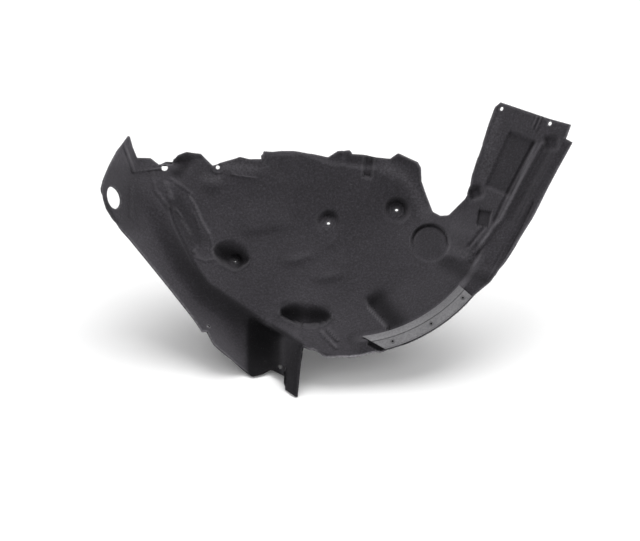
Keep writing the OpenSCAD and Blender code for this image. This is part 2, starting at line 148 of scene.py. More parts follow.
# %% The sections
FAN = np.array([66.0, 713.0])
SECTIONS = [
    (-66, 448, 402, (-128, -138, -146, -150)),
    (-62, 485, 420, (-70, -100, -128, -145)),
    (-57, 541, 431, (0, -62, -115, -140)),
    (-47, 562, 342, (-30, -88, -122, -150)),
    (-35, 584, 286, (-28, -95, -135, -150)),
    (-23, 632, 242, (-32, -98, -143, -158)),
    (-16, 674, 232, (-52, -92, -142, -160)),
    (-11.5, 596, 230, (-60, -112, -152, -160)),
    (-8, 606, 228, (-30, -108, -152, -160)),
    (-5, 614, 228, (0, -105, -152, -160)),
    (5, 634, 224, (0, -105, -152, -160)),
    (15, 622, 232, (0, -100, -153, -160)),
    (25, 596, 258, (0, -88, -149, -159)),
    (35, 574, 300, (0, -55, -125, -150)),
    (45, 544, 396, (0, -22, -52, -88)),
    (55, 523, 371, (0, -25, -55, -90)),
    (72, 507, 364, (0, -28, -60, -95)),
]


def smooth(x):
    """0 below 0, 1 above 1, and a soft step between."""
    t = np.clip(x, 0, 1)
    return t * t * (3 - 2 * t)


def fade(x, start, end):
    """A soft step from 0 at start to 1 at end, which may lie on either side of it."""
    return smooth((x - start) / (end - start))


def through(xs, ys, x):
    """Cubic through the values ys at xs. ys has one row, or one row for each x."""
    xs = np.asarray(xs, float)
    ys = np.broadcast_to(np.asarray(ys, float), (len(x), len(xs)))
    i = np.clip(np.searchsorted(xs, x, side="right") - 1, 0, len(xs) - 2)
    rise = np.diff(ys, axis=1) / np.diff(xs)
    left, right = rise[:, :-1], rise[:, 1:]
    total = np.where(left * right > 0, left + right, 1)
    inner = np.where(left * right > 0, 2 * left * right / total, 0)
    tangents = np.concatenate([rise[:, :1], inner, rise[:, -1:]], axis=1)
    rows = np.arange(len(x))
    span = xs[i + 1] - xs[i]
    t = np.clip((x - xs[i]) / span, 0, 1)
    joined = ys[rows, i] + (ys[rows, i + 1] - ys[rows, i]) * smooth(t)
    start = tangents[rows, i] * span * t * (1 - t) ** 2
    end = tangents[rows, i + 1] * span * t * t * (1 - t)
    return joined + start - end


def base_height(at):
    """Height of the plain bowl over plan points."""
    away = at - FAN
    angle = np.degrees(np.arctan2(away[:, 0], -away[:, 1]))
    angles = [s[0] for s in SECTIONS]
    outer = through(angles, [s[1] for s in SECTIONS], angle)
    inner = through(angles, [s[2] for s in SECTIONS], angle)
    across = (outer - np.hypot(*away.T)) / (outer - inner)
    steps = [through(angles, [s[3][k] for s in SECTIONS], angle) for k in range(4)]
    return through([0, 1 / 3, 2 / 3, 1], np.stack(steps, axis=1), across)


print("bowl depth at the middle:", base_height(np.array([[60.0, 300.0]])).round(1), "mm")

# %% [markdown]
# ## Pressed forms
#
# A mould maker adds small forms to the plain bowl one by one: a gutter here, a flat seat for a screw
# there. The same is done here. Each form is a weight from 0 to 1 over the plan, times a depth, and the
# weights fall off smoothly, since felt can't follow a sharp corner. Displacing a subdivided mesh with
# painted maps would do it too, but numbers can be read and corrected.

# %% Weights of the forms


def off_path(at, path):
    """Distance of plan points from a broken line, and the side: positive to the right of its course."""
    path = np.asarray(path, float)
    best, side = np.full(len(at), 1e9), np.ones(len(at))
    for a, b in zip(path[:-1], path[1:]):
        ab = b - a
        t = np.clip((at - a) @ ab / (ab @ ab), 0, 1)
        away = at - a - t[:, None] * ab
        reach = np.hypot(*away.T)
        right = np.sign(away[:, 0] * ab[1] - away[:, 1] * ab[0] + 1e-9)
        side = np.where(reach < best, right, side)
        best = np.minimum(best, reach)
    return best, side


def within(at, path, fade):
    """1 beside a path, and 0 past its ends."""
    path = np.asarray(path, float)
    first, last = path[1] - path[0], path[-1] - path[-2]
    before = -((at - path[0]) @ first) / np.linalg.norm(first)
    after = ((at - path[-1]) @ last) / np.linalg.norm(last)
    near_first = np.hypot(*(at - path[0]).T) < np.hypot(*(at - path[-1]).T)
    return 1 - smooth(np.where(near_first, before, after) / fade + 0.5)


def along(at, path, half):
    """A rounded crest along a path."""
    return 1 - smooth(off_path(at, path)[0] / half)


def ledge(at, path, near, far):
    """A step along a path: up within near on its right side, and gone again at far."""
    reach, side = off_path(at, path)
    step = smooth(reach / near) * (1 - smooth((reach - near) / (far - near)))
    return np.where(side > 0, step, 0) * within(at, path, 2 * near)


def disc(at, centre, r, edge):
    """A flat round area with a soft edge."""
    return 1 - smooth((np.hypot(*(at - np.asarray(centre, float)).T) - r) / edge)


def turned(at, centre, angle):
    """Plan points seen from a centre, in a frame turned by an angle."""
    d = at - np.asarray(centre, float)
    c, s = math.cos(math.radians(angle)), math.sin(math.radians(angle))
    return d[:, 0] * c + d[:, 1] * s, d[:, 1] * c - d[:, 0] * s


def box(at, centre, size, angle, edge):
    """A flat rectangular area with a soft edge."""
    x, y = turned(at, centre, angle)
    x, y = np.abs(x) - size[0] / 2, np.abs(y) - size[1] / 2
    return 1 - smooth(np.hypot(np.maximum(x, 0), np.maximum(y, 0)) / edge)


def niche(at, centre, size, angle, lowest):
    """An oval pit with a sloping roof above its lowest line and a steeper floor below it."""
    x, y = turned(at, centre, angle)
    x, y = 2 * x / size[0], 2 * y / size[1]
    half = np.sqrt(np.maximum(1 - x * x, 1e-6))
    v = y / half
    roof, ground = smooth((1 - v) / (1 - lowest)), smooth((1 + v) / (1 + lowest))
    return np.where(np.abs(x) < 1, np.where(v > lowest, roof, ground) * half, 0)


def ring(at, centre, r, half):
    """A rounded crest along a circle."""
    return 1 - smooth(np.abs(np.hypot(*(at - np.asarray(centre, float)).T) - r) / half)


# %% Seats for the screws
SEAT_LEAN = math.radians(27)
INNER_AXIS = np.array([0, math.sin(SEAT_LEAN), math.cos(SEAT_LEAN)])
NICHE_AXIS = np.array([0.33, 0.78, 0.53]) / np.linalg.norm([0.33, 0.78, 0.53])
PANEL_AXIS = np.array([0.84, 0.21, 0.49]) / np.linalg.norm([0.84, 0.21, 0.49])
DRAW_AXIS = np.array([0.0, 0.0, 1.0])


def level(axis, centre, at):
    """Height over plan points of the plane through a centre, square to an axis."""
    away = np.asarray(at, float) - np.asarray(centre[:2], float)
    return centre[2] - (away @ axis[:2]) / axis[2]


MIDDLE_SEAT = np.array([63.0, 348.0, -157.0])
RIGHT_SEAT = np.array([201.0, 375.0, level(INNER_AXIS, MIDDLE_SEAT, (201, 375))])
NICHE_SEAT = np.array([-124.0, 271.0, -138.0])


def seated(at, h, seat, axis, r, edge):
    """The height h, mixed with a flat seat."""
    away = at - seat[:2]
    reach = np.hypot(*away.T)
    held = seat[:2] + away * np.minimum(1, r / np.maximum(reach, r))[:, None]
    weight = 1 - smooth((reach - r) / edge)
    return h + (level(axis, seat, held) - h) * weight


# %% Sizes of the main forms, as in the CAD source
# The crease where the bowl meets the left strip, from the upper left down to the lip
CREASE = [
    (-291, 433), (-273, 391), (-258, 365), (-242, 329), (-214, 275), (-178, 225),
    (-98, 171), (-62, 145), (-28, 129), (9, 105),
]
# The flat under the strip: the radii and angles over which it comes in, and the angles where it ends
FLAT_RADII, FLAT_START, FLAT_END = (FOLD_R - 3, FOLD_R + 13), (1, 7), (64, 50)
# The gutter beside the crease, and the places over which it fades out upwards
GUTTER_DEPTH, GUTTER_WIDTH, GUTTER_FADE, GUTTER_TOP = 30, 44, 50, (460, 240)
POCKET_LEFT = [(178, 139), (142, 178), (130, 201)]
POCKET_TOP = [(130, 201), (210, 251), (266, 261), (316, 243)]
POCKET_DEPTH, POCKET_WALL, POCKET_SLOPE, POCKET_REACH = 25, 7, 30, 95
# The disc is deepest at its upper side
DISC, DISC_R, DISC_DEPTH, DISC_EDGE, DISC_LEAST, DISC_UP = (267, 307), 34, 8, 6, 0.35, (273, 341)
EASING_DEPTH, EASING_REACH = 9, 80
# Each band or rib: height, half width, and the path that it follows
BANDS = [
    (-3, 30, [(-262, 400), (-222, 345), (-192, 295)]),
    (-10, 26, [(-320, 475), (-292, 485), (-262, 485), (-228, 468)]),
    (6, 7, [(488, 504), (430, 398), (406, 352), (388, 334)]),
    (6, 7, [(386, 326), (356, 290)]),
]
FACETS = [(12, 44, 400, [(430, 551), (370, 393)])]
RECESS_CENTRE = (427, 464)
RECESSES = [(-7, RECESS_CENTRE, (48, 112), -24, 8)]
# Each niche: depth, centre, size, angle, and where its lowest line lies between -1 and 1
NICHES = [
    (42, (17, 167), (104, 52), -6, -0.8),
    (36, (-132, 286), (76, 62), -20, -0.45),
    (10, (63, 353), (44, 48), 0, -0.2),
    (10, (201, 380), (44, 48), 0, -0.2),
]
# Each seat: place, axis, radius and edge
SEATS = [
    (MIDDLE_SEAT, INNER_AXIS, 16.5, 12), (RIGHT_SEAT, INNER_AXIS, 16.5, 12), (NICHE_SEAT, NICHE_AXIS, 11, 9),
]
# Heights in the lower box, where the bowl turns down to the foot: rows over q, columns over p
BOX_P = [-130, -96, -76, -56, -38, -22, -4, 12]
BOX_Q = [0, 40, 62, 85, 110, 135, 165]
BOX_H = [
    [-45, -57, -57, -57, -45, -20, -6, 0],
    [-42, -57, -57, -56, -50, -26, -7, 0],
    [-51, -72, -78, -70, -46, -20, -6, 0],
    [-61, -88, -98, -88, -56, -24, -8, 0],
    [-72, -98, -107, -96, -66, -34, -14, -2],
    [-82, -100, -104, -94, -76, -52, -30, -12],
    [-88, -96, -92, -84, -74, -62, -50, -40],
]
BOX_WALL, BOX_LEFT, BOX_TOP = 7, (-126, -100), (166, 140)
print(len(BANDS), "bands and ribs,", len(NICHES), "niches and", len(SEATS), "seats")

# %% The main forms together


def lower_box(at):
    """Height of the lower box over plan points."""
    columns = [through(BOX_Q, [row[k] for row in BOX_H], at[:, 1]) for k in range(len(BOX_P))]
    return through(BOX_P, np.stack(columns, axis=1), at[:, 0])


def with_forms(at, h, crests, ledges, panels):
    """The height h with the crests, ledges and panels of three tables on it."""
    for height, half, path in crests:
        h += height * along(at, path, half)
    for height, near, far, path in ledges:
        h += height * ledge(at, path, near, far)
    for height, centre, size, angle, edge in panels:
        h += height * box(at, centre, size, angle, edge)
    return h


def main_forms(at):
    """Height of the felt's front face with its main forms."""
    away = at - LIP_CENTRE
    reach = np.hypot(*away.T)
    angle = np.degrees(np.arctan2(away[:, 0], -away[:, 1]))
    flat = fade(reach, *FLAT_RADII) * fade(angle, *FLAT_START) * fade(angle, *FLAT_END)
    h = base_height(at) * (1 - flat)
    off, side = off_path(at, CREASE)
    off = np.where(side > 0, off, 0)
    dish = smooth(off / GUTTER_WIDTH) * (1 - np.clip((off - GUTTER_WIDTH) / GUTTER_FADE, 0, 1) ** 2)
    h -= GUTTER_DEPTH * dish * fade(at[:, 1], *GUTTER_TOP)
    in_box = smooth(off / BOX_WALL) * fade(at[:, 0], *BOX_LEFT) * fade(at[:, 1], *BOX_TOP)
    h += (lower_box(at) - h) * in_box
    upper = DISC_LEAST + (1 - DISC_LEAST) * fade(at[:, 1], *DISC_UP)
    h -= DISC_DEPTH * disc(at, DISC, DISC_R, DISC_EDGE) * upper
    left, top = off_path(at, POCKET_LEFT), off_path(at, POCKET_TOP)
    inside = (left[1] > 0) & (top[1] > 0)
    pocket = POCKET_DEPTH * smooth(left[0] / POCKET_WALL) * smooth(top[0] / POCKET_SLOPE)
    h -= np.where(inside, pocket * (1 - np.clip(left[0] / POCKET_REACH, 0, 1)) ** 2, 0)
    h = with_forms(at, h, BANDS, FACETS, RECESSES)
    for depth, centre, size, turn, lowest in NICHES:
        h -= depth * niche(at, centre, size, turn, lowest)
    h -= EASING_DEPTH * disc(at, RIGHT_SEAT[:2], 0, EASING_REACH)
    for seat, axis, r, edge in SEATS:
        h = seated(at, h, seat, axis, r, edge)
    return h


for spot in [(63, 348), (-124, 271), (-28, 129), (0, 2)]:
    there = np.array([spot], float)
    print(spot, "bowl", base_height(there).round(1), "with forms", main_forms(there).round(1))

# %% Small forms: crests, grooves, panels and dimples
# Each crest: height, half width, and the path that it follows
CRESTS = [
    (2.5, 6, [(-292, 451), (-285, 415), (-259, 379)]),
    (-2.5, 5, [(-256, 375), (-246, 343), (-226, 303), (-204, 261)]),
    (2.5, 6, [(-254, 436), (-231, 420), (-213, 407)]),
    (2.5, 5, [(-216, 402), (-203, 379), (-190, 349), (-177, 328), (-169, 302), (-159, 287)]),
    (3, 6, [(-206, 291), (-203, 279), (-185, 273), (-159, 277)]),
    (4, 5, [(-200, 298), (-208, 290)]),
    (3, 4, [(-131, 446), (-84, 438)]),
    (-2, 18, [(-46, 479), (-26, 445)]),
    (5, 5, [(48, 131), (78, 99)]),
    (5, 5, [(62, 135), (80, 114)]),
    (4, 9, [(100, 494), (92, 470)]),
    (3, 3.5, [(477, 533), (488, 558)]),
    (3, 3.5, [(470, 536), (480, 560)]),
    (2.5, 4, [(460, 389), (436, 337), (380, 233)]),
    (-3, 4, [(468, 385), (444, 333), (388, 229)]),
    (-4, 6, [(472, 506), (416, 399), (394, 352)]),
    (-4, 6, [(372, 336), (344, 302)]),
    (-3, 10, [(500, 490), (456, 410), (424, 352)]),
    (3, 5, [(-348, 507), (-328, 451)]),
    (3, 4, [(-330, 451), (-292, 455), (-272, 457)]),
    (2, 6, [(-332, 421), (-332, 359)]),
    (3, 4, [(-242, 373), (-230, 358)]),
    (2.5, 5, [(-206, 366), (-196, 338)]),
    (3, 9, [(-262, 425), (-254, 398)]),
]
# Each bulge: height, centre, size and angle
BULGES = [
    (5, (6, 275), (124, 34), 12),
    (5, (70, 240), (104, 30), 14),
    (8, (-232, 482), (70, 50), 0),
    (-9, (-240, 440), (40, 44), -20),
    (6, (-168, 424), (56, 36), 10),
]
# Each ledge: height, width of the step, reach of its fading, and the path, which has the step on its right
LEDGES = [
    (3, 12, 60, [(82, 303), (50, 283), (-4, 265), (-40, 265)]),
    (3, 12, 50, [(108, 259), (87, 241), (58, 231), (18, 229)]),
    (7, 20, 90, [(-20, 331), (-64, 321), (-108, 315)]),
    (6, 14, 60, [(384, 262), (336, 258), (296, 272)]),
    (-9, 12, 60, [(-62, 482), (9, 486), (66, 465), (128, 457), (160, 456)][::-1]),
    (-15, 38, 90, [(150, 452), (186, 440), (206, 426), (218, 405), (230, 385), (238, 364), (254, 350)][::-1]),
    (-8, 26, 60, [(-150, 450), (-104, 444), (-66, 446)][::-1]),
    (4, 5, 40, [(-62, 488), (-62, 466)]),
    (9, 30, 60, [(368, 280), (330, 286), (300, 306)]),
    (-8, 8, 26, [(374, 300), (368, 280), (352, 258)]),
    (-5, 10, 40, [(528, 508), (470, 406), (426, 332), (384, 262)][::-1]),
]
# Each panel: height, centre, size, angle and edge
PANELS = [
    (-9, (144, 466), (11, 44), -7, 7),
    (-12, (-264, 471), (18, 5), 0, 6),
    (-13, (357, 407), (14, 10), 20, 12),
    (-6, (373, 356), (20, 26), -10, 4),
    (-9, (506, 505), (12, 12), 0, 12),
    (-7, (157, 102), (30, 6), -27, 4),
]
# Rings round the inner seats and the tab's hole: height, radius and half width
SEAT_RINGS = [(2, 13.5, 2.5), (-1, 6.5, 2)]
TAB_HOLE, TAB_RING = (-160, 460), (3, 11, 4)
# The groove round the disc: depth, radius and half width, and the places over which it comes in upwards
DISC_GROOVE, DISC_GROOVE_UP = (5, 36, 5), (280, 320)
print(len(CRESTS), "crests,", len(BULGES), "bulges,", len(LEDGES), "ledges and", len(PANELS), "panels")

# %% The whole height of the felt


def felt_height(at):
    """Height of the felt's front face over plan points."""
    h = with_forms(at, main_forms(at), CRESTS, LEDGES, PANELS)
    for height, centre, size, angle in BULGES:
        x, y = turned(at, centre, angle)
        h += height * (1 - smooth(np.hypot(2 * x / size[0], 2 * y / size[1])))
    for seat in (MIDDLE_SEAT, RIGHT_SEAT):
        h += sum(height * ring(at, seat[:2], r, half) for height, r, half in SEAT_RINGS)
    h -= DISC_GROOVE[0] * fade(at[:, 1], *DISC_GROOVE_UP) * ring(at, DISC, *DISC_GROOVE[1:])
    return h + TAB_RING[0] * ring(at, TAB_HOLE, *TAB_RING[1:])


print("height of the felt at the tab's hole:", felt_height(np.array([TAB_HOLE], float)).round(1), "mm")

# %% [markdown]
# ## The sheet
#
# The front face is a net over the ribs. It is fine enough that the smallest form, a groove a few
# millimetres wide, has several cells across it. Its edge isn't a clean line: needle felt is cut or
# torn, so the outermost points wander by a millimetre. A node tree then gives the sheet its thickness,
# because that is one rule for the whole piece: push a copy of the face back along its own normals. The
# same tree measures how far each point stands out of its neighbours, for a painted highlight on the crests.

# %% The net over the ribs
COLUMNS = 372
OUTER_ROWS = 40
INNER_ROWS = 88


def rib_places():
    """The ribs, spread evenly along the arch."""
    outer = np.linalg.norm(np.diff(RIBS[:, 0], axis=0), axis=1)
    inner = np.linalg.norm(np.diff(RIBS[:, 2], axis=0), axis=1)
    along_arch = np.concatenate([[0], np.cumsum(outer + inner)])
    wanted = np.linspace(0, along_arch[-1], COLUMNS)
    flat = RIBS.reshape(len(RIBS), 6)
    return np.stack([np.interp(wanted, along_arch, flat[:, k]) for k in range(6)], axis=1).reshape(-1, 3, 2)


columns = rib_places()
t_outer = np.linspace(0, 1, OUTER_ROWS, endpoint=False)[None, :, None]
t_inner = np.linspace(0, 1, INNER_ROWS + 1)[None, :, None]
net = np.concatenate([
    columns[:, None, 0] * (1 - t_outer) + columns[:, None, 1] * t_outer,
    columns[:, None, 1] * (1 - t_inner) + columns[:, None, 2] * t_inner,
], axis=1)
ROWS = net.shape[1]
print("net of", COLUMNS, "by", ROWS, "points")

# %% The front face as a mesh
flat_net = net.reshape(-1, 2)
front = np.column_stack([flat_net, felt_height(flat_net)])


def grid_faces(wide, high):
    """Quads of a grid, facing the viewer."""
    i, j = np.meshgrid(np.arange(wide - 1), np.arange(high - 1), indexing="ij")
    a = (i * high + j).ravel()
    return np.stack([a, a + high, a + high + 1, a + 1], axis=1)


def mesh_from(name, points, faces):
    """A mesh from arrays."""
    mesh = bpy.data.meshes.new(name)
    mesh.from_pydata(points.tolist(), [], faces.tolist())
    mesh.update()
    return mesh


def new_object(name, data):
    """An object in the scene for a mesh, a lamp or a camera."""
    obj = bpy.data.objects.new(name, data)
    bpy.context.collection.objects.link(obj)
    return obj


felt_mesh = mesh_from("felt", stand(front), grid_faces(COLUMNS, ROWS))
felt = new_object("front_face", felt_mesh)
facing = sum(p.normal.dot(direction(DRAW_AXIS)) * p.area for p in felt_mesh.polygons)
print("the front faces the viewer:", facing > 0, "- faces:", len(felt_mesh.polygons))

# %% Node trees: nodes, and the values on them


def new_tree(name, **inputs):
    """A geometry node tree with a mesh in, a mesh out, and named inputs."""
    tree = bpy.data.node_groups.new(name, "GeometryNodeTree")
    tree.interface.new_socket("Geometry", in_out="INPUT", socket_type="NodeSocketGeometry")
    for label, (kind, value) in inputs.items():
        label = label.replace("_", " ")
        socket = tree.interface.new_socket(label, in_out="INPUT", socket_type="NodeSocket" + kind)
        socket.default_value = value
    tree.interface.new_socket("Geometry", in_out="OUTPUT", socket_type="NodeSocketGeometry")
    return tree, tree.nodes.new("NodeGroupInput"), tree.nodes.new("NodeGroupOutput")


def add_node(tree, kind, settings=None, **inputs):
    """A node with settings, and values or links on its named inputs."""
    node = tree.nodes.new(kind)
    for key, value in (settings or {}).items():
        setattr(node, key, value)
    for key, value in inputs.items():
        put(tree, next(s for s in node.inputs if s.name == key.replace("_", " ") and s.enabled), value)
    return node


def out(node, name=None):
    """An enabled output of a node, by name or the first."""
    return next(s for s in node.outputs if s.enabled and (name is None or s.name == name))


def put(tree, socket, value):
    """Link a socket to a value, or set it."""
    if isinstance(value, bpy.types.NodeSocket):
        tree.links.new(value, socket)
    else:
        socket.default_value = value


def maths(tree, operation, a, b, kind="ShaderNodeMath", name=None):
    """The result of a calculation with two values or vectors."""
    node = add_node(tree, kind, {"operation": operation})
    put(tree, node.inputs[0], a)
    put(tree, node.inputs[1], b)
    return out(node, name)


def fill(tree, node, values):
    """Set or link several inputs of a node."""
    for name, value in values.items():
        put(tree, node.inputs[name], value)


def ranged(tree, value, low, high):
    """A value from 0 to 1, spread from low to high."""
    node = add_node(tree, "ShaderNodeMapRange", {"clamp": True})
    fill(tree, node, {"Value": value, "To Min": low, "To Max": high})
    return out(node)


# %% Node trees: their end, and their result on an object


def ended(tree, result, geometry, material):
    """The tree, closed: its geometry made real and given its material."""
    real = add_node(tree, "GeometryNodeRealizeInstances", Geometry=geometry)
    done = add_node(tree, "GeometryNodeSetMaterial", Geometry=out(real), Material=material)
    tree.links.new(out(done), result.inputs["Geometry"])
    return tree


def grown(name, base, tree, values, material):
    """The tree's result on an object, as a plain mesh of its own."""
    modifier = base.modifiers.new("nodes", "NODES")
    modifier.node_group = tree
    for item in tree.interface.items_tree:
        if item.item_type == "SOCKET" and item.in_out == "INPUT" and item.name in values:
            modifier[item.identifier] = values[item.name]
    evaluated = base.evaluated_get(bpy.context.evaluated_depsgraph_get())
    mesh = bpy.data.meshes.new_from_object(evaluated)
    base.modifiers.remove(modifier)
    mesh.name = name
    mesh.materials.clear()
    mesh.materials.append(material)
    return new_object(name, mesh)


# %% [markdown]
# ## The look of needle felt
#
# Felt has no weave. It is a mat of loose fibres, so it looks matt and a little hairy: light that grazes
# it catches the fibre ends, which is what sheen is for. Its colour isn't even either. Black, grey and a
# few pale fibres are carded together. Three noises give that: a fine one for the fibres, drawn out in
# one direction after another, a middle one for clumps, and a broad one for the pressing.
#
# Four things change it from place to place, and each is a number on the mesh or in the shader rather
# than a painted map. At a cut edge it is paler, because there the fibres end; round the screw seats and
# along some bands the same number carries a painted highlight. On a crest it is paler too: a painted
# highlight. In the lower box, the gutter and many pits it is near black and loses its sheen: painted
# shade, which in the lower box also stands for felt pressed harder. In a hollow ambient occlusion
# darkens it: painted shade as well.

# %% Parts of a material


def new_material(name):
    """An empty node material with its shader and output."""
    material = bpy.data.materials.new(name)
    material.use_nodes = True
    tree = material.node_tree
    tree.nodes.clear()
    shader = tree.nodes.new("ShaderNodeBsdfPrincipled")
    output = tree.nodes.new("ShaderNodeOutputMaterial")
    tree.links.new(shader.outputs["BSDF"], output.inputs["Surface"])
    return material, tree, shader


def ramp(tree, value, *stops):
    """A colour ramp over a value; a bare number stands for a grey."""
    node = tree.nodes.new("ShaderNodeValToRGB")
    while len(node.color_ramp.elements) < len(stops):
        node.color_ramp.elements.new(0.5)
    for element, (place, colour) in zip(node.color_ramp.elements, stops):
        element.position = place
        element.color = (*(colour if isinstance(colour, tuple) else (colour,) * 3), 1)
    tree.links.new(value, node.inputs["Fac"])
    return node.outputs["Color"]


def noise(tree, where, scale, detail=3.0, roughness=0.6, stretch=(1, 1, 1), turn=(0, 0, 0)):
    """Noise over object coordinates, drawn out and turned."""
    mapping = add_node(tree, "ShaderNodeMapping", Vector=where, Scale=stretch, Rotation=turn)
    settings = {"Scale": scale, "Detail": detail, "Roughness": roughness}
    return add_node(tree, "ShaderNodeTexNoise", Vector=out(mapping), **settings).outputs["Fac"]


def mixed(tree, blend, factor, a, b):
    """Two colours mixed."""
    node = tree.nodes.new("ShaderNodeMix")
    node.data_type, node.blend_type = "RGBA", blend
    for socket, value in zip((node.inputs[0], node.inputs[6], node.inputs[7]), (factor, a, b)):
        put(tree, socket, value)
    return node.outputs[2]


def attribute(tree, name, output):
    """A mesh attribute's value in a material."""
    node = tree.nodes.new("ShaderNodeAttribute")
    node.attribute_name = name
    return node.outputs[output]


# %% Material of the felt


def felt_material():
    """Fibres, clumps and broad spots; paler at cut edges, with painted highlights and painted shade."""
    material, tree, shader = new_material("felt_black")
    where = tree.nodes.new("ShaderNodeTexCoord").outputs["Object"]
    fibre_a = noise(tree, where, 900, 2, 0.7, (1, 0.12, 0.3), (0.3, 0.2, 0.9))
    fibre_b = noise(tree, where, 800, 2, 0.7, (0.14, 1, 0.3), (0.9, 0.5, 0.2))
    clump = noise(tree, where, 240, 4, 0.6)
    broad = noise(tree, where, 14, 3, 0.55)
    fibres = maths(tree, "MAXIMUM", fibre_a, fibre_b)
    darkest, middle, lightest = (0.012, 0.011, 0.0125), (0.022, 0.02, 0.024), (0.044, 0.041, 0.048)
    colour = ramp(tree, clump, (0.3, darkest), (0.52, middle), (0.8, lightest))
    flecks = ramp(tree, fibres, (0.64, 0), (0.84, 1))
    colour = mixed(tree, "MIX", flecks, colour, (0.075, 0.071, 0.08, 1))
    colour = mixed(tree, "MULTIPLY", 0.5, colour, ramp(tree, broad, (0.3, 0.6), (0.7, 1)))
    uneven = ramp(tree, clump, (0.3, 0.3), (0.6, 1))
    # The edge number: paler cut edges, plus painted highlights round the screw seats and along some paths
    edge = mixed(tree, "MULTIPLY", 1.0, attribute(tree, "edge", "Color"), uneven)
    colour = mixed(tree, "MIX", edge, colour, (0.3, 0.29, 0.31, 1))
    # Painted highlight on convex crests, from how far each point stands out
    painted_crest_highlight = ramp(tree, attribute(tree, "fold", "Fac"), (0.1, 0), (0.9, 0.32))
    colour = mixed(tree, "MIX", painted_crest_highlight, colour, (0.085, 0.082, 0.09, 1))
    # Painted shade in hollows, from ambient occlusion; it also dims the sheen
    hollow = add_node(tree, "ShaderNodeAmbientOcclusion", {"samples": 6}, Distance=0.07)
    shade = ramp(tree, hollow.outputs["AO"], (0.4, 0.2), (0.88, 1))
    colour = mixed(tree, "MULTIPLY", 1.0, colour, shade)
    # Painted shade: the mesh's shade number turns the felt near black and takes away its sheen
    pressed = attribute(tree, "pressed", "Fac")
    colour = mixed(tree, "MIX", pressed, colour, (0.004, 0.0038, 0.0045, 1))
    unshaded_sheen = ranged(tree, pressed, 0.35, 0.0)
    coarse = add_node(tree, "ShaderNodeBump", Strength=0.5, Distance=0.0012, Height=clump)
    fine = add_node(tree, "ShaderNodeBump", Strength=0.6, Distance=0.0005, Height=fibres, Normal=out(coarse))
    fill(tree, shader, {
        "Base Color": colour, "Roughness": 0.95, "Specular IOR Level": 0.15, "Normal": out(fine),
        "Sheen Weight": maths(tree, "MULTIPLY", unshaded_sheen, shade), "Sheen Roughness": 0.6,
        "Sheen Tint": (0.75, 0.72, 0.78, 1),
    })
    return material


FELT = felt_material()
print("felt material with", len(FELT.node_tree.nodes), "nodes")

# %% The tree that gives the sheet its thickness
THICKNESS, RIPPLE, SEED = 0.0036, 0.0008, 3


def sheet_tree():
    """The front face rippled a little, with its crests measured and a back face one thickness behind."""
    tree, given, result = new_tree(
        "pressed_sheet", Thickness=("Float", THICKNESS), Ripple=("Float", RIPPLE), Seed=("Int", SEED),
    )
    seed = maths(tree, "MULTIPLY", given.outputs["Seed"], 7.31)
    wave = add_node(tree, "ShaderNodeTexNoise", {"noise_dimensions": "4D"}, W=seed, Scale=38.0, Detail=2.0)
    centred = maths(tree, "SUBTRACT", wave.outputs["Fac"], 0.5)
    sized = maths(tree, "MULTIPLY", centred, given.outputs["Ripple"])
    normal = out(tree.nodes.new("GeometryNodeInputNormal"))
    push = add_node(tree, "ShaderNodeVectorMath", {"operation": "SCALE"}, Vector=normal, Scale=sized)
    rippled = add_node(tree, "GeometryNodeSetPosition", Geometry=given.outputs["Geometry"], Offset=out(push))
    # How far each point stands out of its neighbours, in millimetres
    place = out(tree.nodes.new("GeometryNodeInputPosition"))
    vectors = {"data_type": "FLOAT_VECTOR"}
    around = add_node(tree, "GeometryNodeBlurAttribute", vectors, Value=place, Iterations=1)
    stands_out = maths(tree, "SUBTRACT", place, out(around), "ShaderNodeVectorMath")
    along_normal = maths(tree, "DOT_PRODUCT", stands_out, normal, "ShaderNodeVectorMath", "Value")
    in_mm = maths(tree, "MULTIPLY", along_normal, 1000.0)
    stored = {"data_type": "FLOAT", "domain": "POINT"}
    rippled = out(add_node(
        tree, "GeometryNodeStoreNamedAttribute", stored, Geometry=out(rippled), Name="fold", Value=in_mm,
    ))
    back = maths(tree, "MULTIPLY", given.outputs["Thickness"], -1.0)
    pushed = add_node(tree, "GeometryNodeExtrudeMesh", Mesh=rippled, Offset_Scale=back, Individual=False)
    turned = add_node(tree, "GeometryNodeFlipFaces", Mesh=out(pushed, "Mesh"))
    both = tree.nodes.new("GeometryNodeJoinGeometry")
    tree.links.new(rippled, both.inputs[0])
    tree.links.new(out(turned), both.inputs[0])
    merged = add_node(tree, "GeometryNodeMergeByDistance", Geometry=out(both), Distance=0.00001)
    return ended(tree, result, out(merged), FELT)


sheet = {"Thickness": THICKNESS, "Ripple": RIPPLE, "Seed": SEED}
shell = grown("felt_shell", felt, sheet_tree(), sheet, FELT)
bpy.data.objects.remove(felt)
print("shell:", len(shell.data.vertices), "points,", len(shell.data.polygons), "faces")

# %% [markdown]
# ## Holes
#
# The real holes are punched after pressing, square to the felt where each one sits. A boolean with one
# cutter for each hole does the same. All the cutters go into one mesh, so that the shell is cut once.

# %% Punching the holes
ARM_HOLE_A = np.array([409.0, 576.0])
ARM_HOLE_B = np.array([502.0, 544.0])
PANEL_HOLE = (-364, 397)


def point_at(at):
    """The felt's point over one plan point."""
    at = np.asarray(at, float)
    return np.array([*at, felt_height(at[None])[0]])


arm_corner = point_at(ARM_HOLE_A)
arm_square = np.cross(point_at((448, 500)) - arm_corner, point_at(ARM_HOLE_B) - arm_corner)
ARM_AXIS = arm_square / np.linalg.norm(arm_square)
